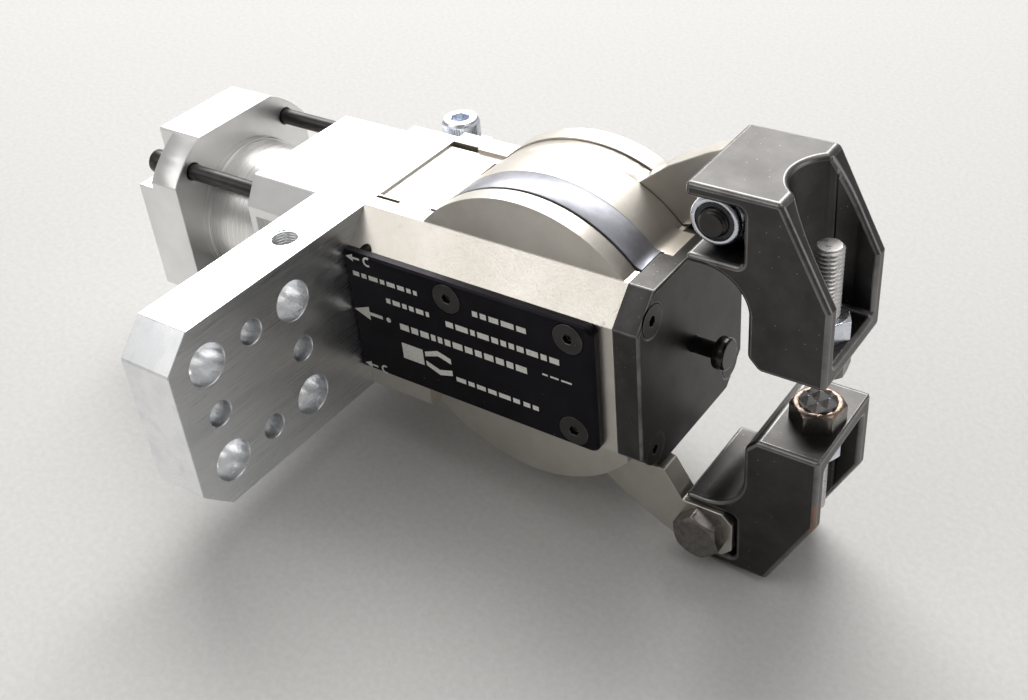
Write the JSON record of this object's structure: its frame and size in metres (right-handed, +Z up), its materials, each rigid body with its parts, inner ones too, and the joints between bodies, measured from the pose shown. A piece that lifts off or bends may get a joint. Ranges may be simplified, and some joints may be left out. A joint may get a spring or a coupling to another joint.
{
  "type": "pneumatic gripper",
  "caption": "Two-jaw pneumatic gripper: air cylinder, cam-driven swinging arms, black jaws with serrated contact screws, and an aluminium mounting plate.",
  "frame": {"origin": "centre of the mounting plate's square hole pattern, on the plate's front face, the face towards the jaws", "axes": "+X along the cylinder towards the jaws, +Y from the free end of the mounting plate towards the gripper's body, +Z up, square to the jaw axis, which runs along Y"},
  "size_m": [0.244, 0.1531, 0.1292],
  "materials": {
    "nickel_plated": "satin nickel plate, fine blasted grain",
    "milled_aluminium": "bright milled with tool marks",
    "satin_aluminium": "satin, natural anodised",
    "bare_steel": "ground, slightly mottled",
    "hard_chrome": "polished",
    "black_anodised": "satin black",
    "black_oxide_steel": "oiled black oxide with worn edges",
    "dark_steel_bolt": "oiled dark steel",
    "zinc_plated": "bright zinc plate",
    "bronze": "oiled",
    "seal_rubber": "matte",
    "guide_plastic": "matte"
  },
  "bodies": {
    "gripper_frame": {"head_housing": "nickel_plated", "mount_plate": "milled_aluminium", "tab_screw": "zinc_plated", "front_cover": "black_oxide_steel", "cover_screws": "black_oxide_steel", "label_plate": "black_anodised", "label_screws": "black_oxide_steel", "side_cover": "black_anodised", "side_cover_screws": "black_oxide_steel", "front_cap": "satin_aluminium", "rear_cap": "satin_aluminium", "cylinder_barrel": "satin_aluminium", "barrel_seals": "seal_rubber", "tie_rods": "dark_steel_bolt", "tie_rod_nuts": "dark_steel_bolt", "rod_bush": "bronze", "rod_seal": "seal_rubber", "rod_wiper": "seal_rubber", "upper_guard_strip": "bare_steel", "lower_guard_strip": "bare_steel", "upper_pivot_pin": "bare_steel", "lower_pivot_pin": "bare_steel", "release_spring": "zinc_plated"},
    "piston_group": {"piston": "satin_aluminium", "piston_seals": "seal_rubber", "piston_guide_ring": "guide_plastic", "piston_rod": "hard_chrome", "piston_nut": "zinc_plated", "crosshead": "bare_steel", "cross_pin": "bare_steel", "cam_rollers": "bare_steel"},
    "release_button": {"release_pin": "black_oxide_steel"},
    "upper_jaw_group": {"upper_arm": "nickel_plated", "upper_pivot_bush": "bronze", "upper_jaw": "black_oxide_steel", "upper_arm_bolt": "dark_steel_bolt", "upper_arm_bolt_nut": "zinc_plated", "upper_contact_lock_nut": "zinc_plated"},
    "lower_jaw_group": {"lower_arm": "nickel_plated", "lower_pivot_bush": "bronze", "lower_jaw": "black_oxide_steel", "lower_arm_bolt": "dark_steel_bolt", "lower_arm_bolt_nut": "zinc_plated", "lower_contact_lock_nut": "zinc_plated"},
    "upper_contact": {"upper_contact_screw": "black_oxide_steel", "upper_grip_insert": "bare_steel"},
    "lower_contact": {"lower_contact_screw": "black_oxide_steel", "lower_grip_insert": "bare_steel"}
  },
  "joints": [
    {"name": "piston_slide", "type": "slide", "parent": "gripper_frame", "child": "piston_group", "axis": [-1, 0, 0], "range_m": [0, 0.022]},
    {"name": "upper_jaw_hinge", "type": "hinge", "parent": "gripper_frame", "child": "upper_jaw_group", "pos_m": [0.0573, 0.0752, 0], "axis": [0, -1, 0], "range_deg": [0, 45]},
    {"name": "lower_jaw_hinge", "type": "hinge", "parent": "gripper_frame", "child": "lower_jaw_group", "pos_m": [0.0573, 0.0752, 0], "axis": [0, 1, 0], "range_deg": [0, 45]},
    {"name": "release_pin_slide", "type": "slide", "parent": "gripper_frame", "child": "release_button", "axis": [-1, 0, 0], "range_m": [0, 0.0062], "stiffness_N_per_m": 400, "springref_m": -0.002, "deforming": ["release_spring"]},
    {"name": "upper_contact_slide", "type": "slide", "parent": "upper_jaw_group", "child": "upper_contact", "axis": [0, 0, -1], "range_m": [0, 0.004]},
    {"name": "lower_contact_slide", "type": "slide", "parent": "lower_jaw_group", "child": "lower_contact", "axis": [0, 0, 1], "range_m": [0, 0.004]}
  ],
  "couplings": [
    {"joint": "upper_jaw_hinge", "follows": "piston_slide", "rad_per_m": 35.7},
    {"joint": "lower_jaw_hinge", "follows": "piston_slide", "rad_per_m": 35.7}
  ]
}
